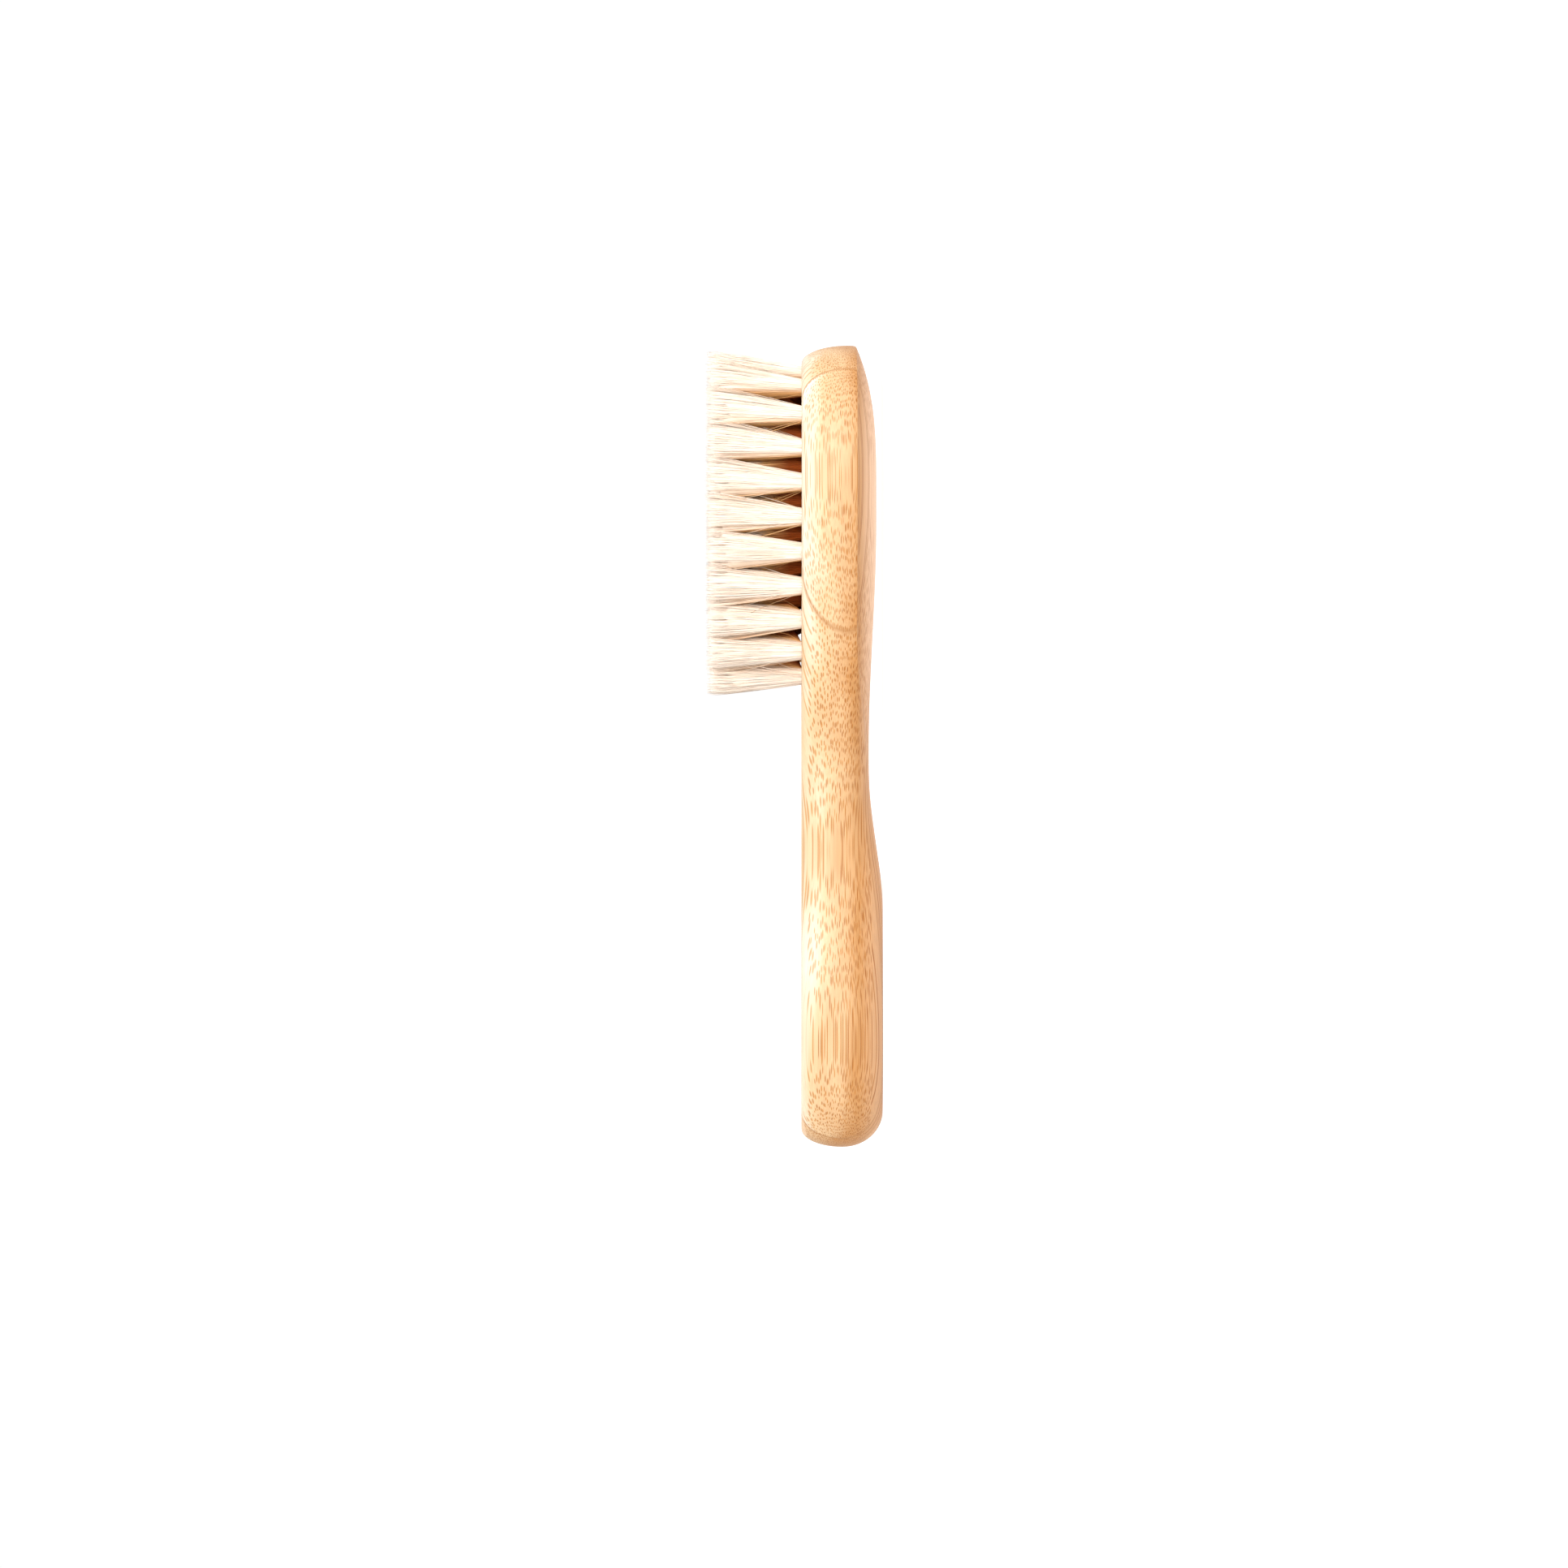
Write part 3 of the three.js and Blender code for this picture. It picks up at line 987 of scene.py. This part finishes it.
    def reach(self, tuft: Tuft, angles: np.ndarray) -> np.ndarray:
        """How far a tuft's tips may spread, each way, before they meet its neighbours' tips.

        Args:
            tuft: The tuft.
            angles: Directions in the plane of the tips, in radians.

        Returns:
            A distance for each direction, in mm.
        """
        limit = np.full(len(angles), 2 * self.widest_reach)
        least = self.meets_from
        for other in self.neighbours(tuft, 2 * self.deep_reach):
            apart = other.tip - tuft.tip
            facing = np.cos(angles - math.atan2(apart[1], apart[0]))
            half = (np.hypot(*apart) + self.neighbour_overlap) / 2
            met = np.minimum(limit, half / np.maximum(facing, least))
            limit = np.where(facing > least, met, limit)
        filled = np.minimum(limit, self.deep_reach)
        if tuft.ring is not Ring.OUTER:
            return filled
        at_rim = np.where(limit > self.widest_reach, self.free_reach, limit)
        return np.where(np.cos(angles - self.inward(tuft)) > self.inside_from, filled, at_rim)

    def inward(self, tuft: Tuft) -> float:
        """The level direction from an outer tuft straight into the field.

        Args:
            tuft: The tuft.

        Returns:
            The direction, in radians.
        """
        to_tip, to_neck, across = self.ring_axes
        along = tuft.root[0] - self.ring_middle
        half = to_tip if along > 0 else to_neck
        return math.atan2(-tuft.root[1] / across**2, -along / half**2)

    def opening(self, tuft: Tuft, rise: np.ndarray | float, angles: np.ndarray) -> np.ndarray:
        """How far a tuft has opened, from 0 at its hole to 1.

        An outer tuft opens slowly, but fast where it faces the field at the neck end, where no
        inner tufts stand behind it.

        Args:
            tuft: The tuft.
            rise: Share of the free length.
            angles: Directions away from the tuft's axis, in radians.

        Returns:
            The share of the way from the width at the root to the width at the tips.
        """

        def eased(full: float, power: float) -> np.ndarray:
            """Opens up to a share of the free length, fast at first."""
            return 1 - (1 - np.minimum(np.asarray(rise, float) / full, 1)) ** power

        if tuft.ring is not Ring.OUTER:
            return np.broadcast_to(eased(*self.bushy_spread), angles.shape)
        free = eased(*self.outer_spread)
        facing = smoothstep(np.cos(angles - self.inward(tuft)), *self.inner_side)
        loose = 1 - smoothstep(tuft.root[0], *self.loose_end)
        return free + (eased(*self.inner_spread) - free) * facing * loose

    def strand_paths(self, tuft: Tuft, draw: np.random.Generator) -> np.ndarray:
        """The centre lines of a tuft's hairs.

        Args:
            tuft: The tuft.
            draw: The tuft's own random numbers.

        Returns:
            Points by hair, step and axis, in mm.
        """
        count = self.surface_strands + self.inner_strands
        angle = draw.uniform(0, FULL_TURN, count)
        at_surface = draw.uniform(self.surface_band, 1.0, self.surface_strands)
        out = np.append(at_surface, np.sqrt(draw.uniform(0, 1, self.inner_strands)))
        direction = np.stack([np.cos(angle), np.sin(angle)], axis=1)
        at_root = direction * (out * self.bundle_radius)[:, None]
        scatter = draw.normal(0, self.tip_scatter, count)
        at_tip = direction * (self.reach(tuft, angle) * (out + scatter))[:, None]

        # Hairs gather a little into locks.
        locks = at_tip[draw.choice(count, self.clumps, replace=False)]
        nearest = np.argmin(np.linalg.norm(at_tip[:, None] - locks[None], axis=2), axis=1)
        gather = draw.uniform(0.0, self.clump_pull, self.clumps)[nearest][:, None]
        at_tip = at_tip + (locks[nearest] - at_tip) * gather

        # A few hairs stray over to a neighbour.
        stray = np.zeros((count, 2))
        loose = draw.choice(self.surface_strands, self.strays, replace=False)
        near = self.neighbours(tuft, 2 * self.widest_reach)
        for hair, other in zip(loose, draw.integers(0, len(near), self.strays), strict=True):
            stray[hair] = (near[other].tip - tuft.tip) * draw.uniform(*self.stray_reach)

        length = FREE_LENGTH - self.trim_spread * draw.beta(*self.trim_draw, count)
        foot = FACE_Z - self.hole_depth + self.foot_gap + draw.uniform(0, self.foot_spread, count)
        paths = np.empty((count, len(STRAND_STEPS), 3))
        swing = draw.normal(0, self.wave, (count, 2))
        phase = draw.uniform(0, FULL_TURN, (count, 2))
        turns = draw.uniform(*self.wave_turns, (count, 1))
        lean = tuft.tip - tuft.root
        for step, rise in enumerate(STRAND_STEPS):
            wave = swing * np.sin(FULL_TURN * turns * rise + phase) * min(3 * rise, 1)
            opened = (at_tip - at_root) * self.opening(tuft, rise, angle)[:, None]
            strayed = stray * min(rise / self.stray_height, 1)
            paths[:, step, :2] = tuft.root + lean * rise + at_root + opened + wave + strayed
            paths[:, step, 2] = FACE_Z + length * rise
        paths[:, 0, 2] = foot
        return paths

    def root_shade(self, tuft: Tuft, points: np.ndarray) -> np.ndarray:
        """How much painted shade each point of the hair gets, warm between and behind the tufts.

        Painted shade: the hair is darker and warmer between the tufts than on their outside,
        most on the side towards the handle, which is turned from the key lamp.

        Args:
            tuft: The tuft that the points are on.
            points: The points, in mm.

        Returns:
            For each point 0 in the open, 0.5 on a flank towards a neighbour, 1 deep in the field.
        """
        rise = np.clip((points[:, 2] - FACE_Z) / FREE_LENGTH, 0, 1)
        # painted shade deep inside the ring of outer roots, fading up the hair
        deep = self.field_depth(points[:, :2]) * (1 - smoothstep(rise, *self.deep_fade))
        off, out = self.around_axis(tuft, points, rise)
        # painted shade on the side of an outer tuft that faces into the field
        if tuft.ring is Ring.OUTER:
            inward = np.array([math.cos(self.inward(tuft)), math.sin(self.inward(tuft))])
            inner = smoothstep(off @ inward, 0.1, 0.6) * (1 - smoothstep(rise, *self.inner_fade))
            deep = np.maximum(deep, 0.95 * inner)
        # painted shade on the flanks towards neighbours, strongest on the side turned from the key
        # lamp
        facing = np.zeros(len(points))
        for other in self.neighbours(tuft, 2 * self.widest_reach):
            apart = other.root - tuft.root
            facing = np.maximum(facing, off @ (apart / np.hypot(*apart)))
        flank = smoothstep(facing * out, 0.5, 1.0) * (1 - smoothstep(rise, *self.flank_fade))
        turned_from_light = 0.2 + 0.8 * smoothstep(-off[:, 0], -0.2, 0.7)
        return np.maximum(deep, 0.5 * flank * turned_from_light)

    def around_axis(
        self, tuft: Tuft, points: np.ndarray, rise: np.ndarray
    ) -> tuple[np.ndarray, np.ndarray]:
        """Where points lie round a tuft's leaning axis.

        Args:
            tuft: The tuft.
            points: The points, in mm.
            rise: Each point's share of the free length.

        Returns:
            The level direction away from the axis, and the distance as a share of the tuft's
            half width there.
        """
        off = points[:, :2] - tuft.root - (tuft.tip - tuft.root) * rise[:, None]
        distance = np.linalg.norm(off, axis=1)
        angles = np.arctan2(off[:, 1], off[:, 0])
        edge = self.reach(tuft, angles)
        wide = self.bundle_radius + (edge - self.bundle_radius) * self.opening(tuft, rise, angles)
        return off / np.maximum(distance, 1e-6)[:, None], np.clip(distance / wide, 0, 1)

    def field_depth(self, places: np.ndarray) -> np.ndarray:
        """How deep places lie inside the ring of outermost roots.

        Args:
            places: X and Y of the places.

        Returns:
            0 outside or on the outermost roots, rising to 1 a few millimetres inside.
        """
        rim = np.array([tuft.root for tuft in self.tufts if tuft.ring is Ring.OUTER])
        middle = rim.mean(axis=0)
        around = np.arctan2(*(rim - middle).T[::-1])
        order = np.argsort(around)
        radius = np.linalg.norm(rim - middle, axis=1)[order]
        wanted = np.arctan2(*(places - middle).T[::-1])
        edge = np.interp(wanted, around[order], radius, period=FULL_TURN)
        return smoothstep(edge - np.linalg.norm(places - middle, axis=1), *self.field_edge)

    def core(self, tuft: Tuft, draw: np.random.Generator) -> tuple[np.ndarray, np.ndarray]:
        """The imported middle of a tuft, fluted like the bundle of hairs that it stands for.

        Args:
            tuft: The tuft.
            draw: The tuft's own random numbers.

        Returns:
            Its points and its triangles.
        """
        around = self.core_sides
        angle = np.arange(around) * FULL_TURN / around
        direction = np.stack([np.cos(angle), np.sin(angle)], axis=1)
        flute = 1 + self.core_flute * np.clip(draw.normal(0, 1, around), -1.6, 1.2)
        ragged = draw.uniform(-self.core_ragged, self.core_ragged, around)
        root = direction * self.bundle_radius
        tip = direction * self.reach(tuft, angle)[:, None]
        foot = (self.foot_gap - self.hole_depth) / FREE_LENGTH
        top = self.core_top
        rings = []
        for rise in (foot, *CORE_STEPS, top, *(top + step for step in self.core_cap)):
            up = max(rise, 0.0)
            # Ragged towards the top, and then evened out by the cap.
            climb = smoothstep(rise, 0.5, top) * (1 - 0.8 * smoothstep(rise, top, top + 0.08))
            flat = root + (tip - root) * self.opening(tuft, up, angle)[:, None]
            share = self.core_share * (1 + (flute - 1) * min(4 * up, 1))
            share = share * (1 - self.cap_slope * max(rise - top, 0))
            place = tuft.root + (tuft.tip - tuft.root) * up + flat * share[:, None]
            rings.append(np.column_stack([place, FACE_Z + (rise + ragged * climb) * FREE_LENGTH]))
        crown = rings[-1].mean(axis=0) + (0, 0, self.cap_crown)
        points = np.vstack([*rings, rings[0].mean(axis=0)[None], crown[None]])
        k = np.arange(around)
        after = (k + 1) % around
        last = (len(rings) - 1) * around
        bottom_fan = np.column_stack([after, k, np.full(around, len(points) - 2)])
        top_fan = np.column_stack([last + k, last + after, np.full(around, len(points) - 1)])
        return points, np.vstack([ring_triangles(len(rings), around), bottom_fan, top_fan])

    def strands(self, paths: np.ndarray, draw: np.random.Generator) -> tuple[np.ndarray, np.ndarray]:
        """Closed, three-sided hairs that taper to their tips.

        Args:
            paths: Points by hair, step and axis, in mm.
            draw: The tuft's own random numbers.

        Returns:
            The hairs' points, hair by hair, and their triangles.
        """
        count, steps, _ = paths.shape
        sides = 3
        taper = np.interp(STRAND_STEPS, *TAPER)
        radius = self.strand_radius * draw.uniform(*self.strand_spread, (count, 1)) * taper[None, :]
        turn = draw.uniform(0, FULL_TURN, (count, 1)) + np.arange(sides) * FULL_TURN / sides
        flat = np.stack([np.cos(turn), np.sin(turn), np.zeros_like(turn)], axis=2)
        tube = paths[:, :-1, None, :] + radius[:, :-1, None, None] * flat[:, None, :, :]
        body = (steps - 1) * sides
        points = np.concatenate([tube.reshape(count, body, 3), paths[:, -1:, :]], axis=1)
        last = body - sides
        cap = [[last + k, last + (k + 1) % sides, body] for k in range(sides)]
        one = np.vstack([ring_triangles(steps - 1, sides), cap, [[2, 1, 0]]])
        base = (np.arange(count) * (body + 1))[:, None, None]
        return points.reshape(-1, 3), (one[None] + base).reshape(-1, 3)

    def hair_mesh(self, tuft: Tuft) -> bpy.types.Mesh:
        """Builds a tuft as a packed core under single hairs that taper to their tips.

        Args:
            tuft: The tuft.

        Returns:
            The mesh, with a tone for each hair and its painted shade as attributes.
        """
        draw = np.random.default_rng([SEED, self.tufts.index(tuft)])
        core_points, core_faces = self.core(tuft, draw)
        paths = self.strand_paths(tuft, draw)
        hair_points, hair_faces = self.strands(paths, draw)
        points = np.vstack([core_points, hair_points])
        faces = np.vstack([core_faces, hair_faces + len(core_points)])
        tone = np.repeat(draw.beta(*self.tone_draw, len(paths)), len(hair_points) // len(paths))
        mesh = new_mesh(tuft.name, points, faces.tolist())
        for name, values in (
            ("hair_tone", np.concatenate([np.full(len(core_points), self.core_tone), tone])),
            ("root_shade", self.root_shade(tuft, points)),
        ):
            attribute = mesh.attributes.new(name, "FLOAT", "POINT")
            attribute.data.foreach_set("value", values.astype(np.float32))
        mesh.shade_smooth()
        own = np.empty(len(points) * 3)
        mesh.vertex_normals.foreach_get("vector", own)
        shaded = self.shading_normals(tuft, points, own.reshape(-1, 3))
        mesh.normals_split_custom_set_from_vertices(shaded.tolist())
        return mesh

    def shading_normals(self, tuft: Tuft, points: np.ndarray, own: np.ndarray) -> np.ndarray:
        """Turns each hair's normals towards the round outside of its tuft.

        Fine hair takes the light as one soft lock, which single thick strands would not.

        Args:
            tuft: The tuft.
            points: The points of its mesh, in mm.
            own: The mesh's own normals at those points.

        Returns:
            The normals to shade with.
        """
        rise = np.clip((points[:, 2] - FACE_Z) / FREE_LENGTH, 0, 1)
        off, out = self.around_axis(tuft, points, rise)
        side_up, top_up = self.lock_up
        up = side_up + top_up * smoothstep(rise, self.lock_top, 1.0) * (1 - 0.6 * out**3)
        lock = np.column_stack([off * out[:, None], up])
        lock /= np.linalg.norm(lock, axis=1)[:, None]
        agreeing = smoothstep(np.sum(own * lock, axis=1), -0.35, 0.35)[:, None]
        mixed = own + (lock - own) * self.lock_normal * agreeing
        return mixed / np.maximum(np.linalg.norm(mixed, axis=1), 1e-6)[:, None]

    def build(self) -> list[bpy.types.Object]:
        """Builds and dresses every tuft.

        Returns:
            The tufts.
        """
        material = self.finish.build()
        pieces = []
        for tuft in self.tufts:
            piece = mesh_object(tuft.name.replace("tuft", "hair"), self.hair_mesh(tuft), material)
            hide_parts(tuft.name)
            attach(piece, ROOT)
            pieces.append(piece)
        return pieces


@dataclass
class Staples:
    """The wire staples, one across the bottom of each hole, under the folded hair."""

    wire_radius: float = 0.2
    half_span: float = 0.95
    leg: float = 0.66
    bow: float = 0.475  # how far the wire's back rises between the legs
    lift: float = 0.3  # of the legs' ends off the bottom of the hole
    sides: int = 8
    steps_bow: int = 9
    finish: DrawnBrass = field(default_factory=DrawnBrass)

    def build(self, tufts: TuftField) -> bpy.types.Object:
        """Builds the staples.

        Args:
            tufts: The tufts that they hold.

        Returns:
            The staples, as one piece.
        """
        low = FACE_Z - tufts.hole_depth + self.lift
        span, shoulder = self.half_span, low + self.leg
        bend = [(-span, low), (-span, shoulder)]
        for t in np.linspace(0, math.pi, self.steps_bow)[1:-1]:
            bend.append((-span * math.cos(t), shoulder + self.bow * math.sin(t)))
        line = np.array([*bend, (span, shoulder), (span, low)])
        tangent = np.gradient(line, axis=0)
        tangent /= np.linalg.norm(tangent, axis=1)[:, None]
        turn = (np.arange(self.sides) * FULL_TURN / self.sides)[None]
        side, over = self.wire_radius * np.cos(turn), self.wire_radius * np.sin(turn)
        y = line[:, :1] - tangent[:, 1:] * over
        z = line[:, 1:] + tangent[:, :1] * over
        one = np.stack([np.broadcast_to(side, y.shape), y, z], axis=2).reshape(-1, 3)
        end = np.arange(self.sides)
        ends = [end[::-1].tolist(), (end + len(one) - self.sides).tolist()]
        faces = []
        for first in range(0, len(one) * len(tufts.tufts), len(one)):
            for face in ring_faces(len(line), self.sides).tolist() + ends:
                faces.append([first + k for k in face])
        points = np.vstack([one + (*tuft.root, 0) for tuft in tufts.tufts])
        mesh = new_mesh("staples", points, faces)
        shape = bmesh.new()
        shape.from_mesh(mesh)
        bmesh.ops.recalc_face_normals(shape, faces=shape.faces)
        shape.to_mesh(mesh)
        shape.free()
        mesh.shade_smooth()
        piece = mesh_object("tuft_staples", mesh, self.finish.build())
        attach(piece, ROOT)
        return piece


# --- Studio ---


@dataclass(frozen=True)
class SoftLamp:
    """A round soft lamp."""

    name: str
    place: tuple[float, float, float]  # metres
    size: float  # metres
    power: float  # watts


@dataclass
class Studio:
    """A plain pale floor, soft light and a camera square to the side of the brush."""

    lens: float = 100.0
    sensor: float = 36.0
    view_width: float = 313.5  # mm across the picture at the brush
    aim_x: float = -7.46
    aim_z: float = 19.68
    floor_size: float = 12.0  # metres
    floor_drop: float = 0.05
    wall_light: float = 1.02  # the white walls of the tent, level with the brush
    sky_light: float = 0.97  # its dimmer top
    sky_edge: tuple[float, float] = (0.25, 0.45)  # sines of the angle up, where walls turn to top
    lamp_aim: tuple[float, float, float] = (0.02, 0, 0.02)  # metres
    lamps: tuple[SoftLamp, ...] = (
        SoftLamp("key", (0.28, -0.82, 0.42), 0.35, 7.5),
        SoftLamp("back", (-0.4, 0.75, 0.6), 0.5, 2.5),
    )

    def build_camera(self) -> None:
        """Places the camera on the brush's right, looking along +Y, with the head end up."""
        data = bpy.data.cameras.new("camera")
        data.lens = self.lens
        data.sensor_width = self.sensor
        data.clip_start = 0.01
        data.clip_end = 50
        camera = new_object("camera", data)
        distance = self.view_width * self.lens / self.sensor
        turn = Matrix(((0, 1, 0), (0, 0, -1), (-1, 0, 0))).to_4x4()
        place = Vector((self.aim_x, -distance, self.aim_z)) * MM
        camera.matrix_world = Matrix.Translation(place) @ turn
        bpy.context.scene.camera = camera

    def build_floor(self) -> None:
        """Lays the floor just under the brush."""
        half = self.floor_size / 2 / MM
        around = ((-half, -half), (half, -half), (half, half), (-half, half))
        corners = np.array([(*corner, -self.floor_drop) for corner in around])
        mesh = new_mesh("floor", corners, [[0, 1, 2, 3]])
        floor = mesh_object("floor", mesh, PaintedFloor().build())

    def build_light(self) -> None:
        """Adds a white tent with a dimmer top and the soft lamps."""
        world = bpy.data.worlds.new("surround")
        bpy.context.scene.world = world
        world.use_nodes = True
        tree = world.node_tree
        surround = tree.nodes["Background"]
        surround.inputs["Color"].default_value = (1, 1, 1, 1)
        towards = add_node(tree, "TexCoord").outputs["Generated"]
        up = add_node(tree, "SeparateXYZ", links={0: towards}).outputs["Z"]
        height = add_node(tree, "Math", {"operation": "ABSOLUTE"}, {0: up})
        low, high = self.sky_edge
        light = {"To Min": self.wall_light, "To Max": self.sky_light}
        wall = add_node(
            tree, "MapRange", {"From Min": low, "From Max": high, **light}, {"Value": height}
        )
        tree.links.new(wall.outputs[0], surround.inputs["Strength"])
        for lamp in self.lamps:
            data = bpy.data.lights.new(lamp.name, "AREA")
            data.shape = "DISK"
            data.size = lamp.size
            data.energy = lamp.power
            light = new_object(lamp.name, data)
            light.location = lamp.place
            shining = Vector(self.lamp_aim) - Vector(lamp.place)
            light.rotation_euler = shining.to_track_quat("-Z", "Y").to_euler()
        # Plain sRGB, so that paper white is white and the hexes above show as given.
        bpy.context.scene.view_settings.view_transform = "Standard"


def main() -> None:
    """Builds the studio, the bamboo body, the tufts and their staples, in that order."""
    logging.basicConfig(level=logging.INFO, format="%(name)s: %(message)s")
    studio = Studio()
    studio.build_camera()
    studio.build_floor()
    studio.build_light()
    tufts = TuftField()
    drills = tufts.drills()
    pieces = BambooBody().build(drills)
    bpy.data.objects.remove(drills)
    pieces += tufts.build()
    pieces.append(Staples().build(tufts))
    for piece in pieces:
        LOG.info("%s: %d faces", piece.name, len(piece.data.polygons))


if __name__ == "__main__":
    main()
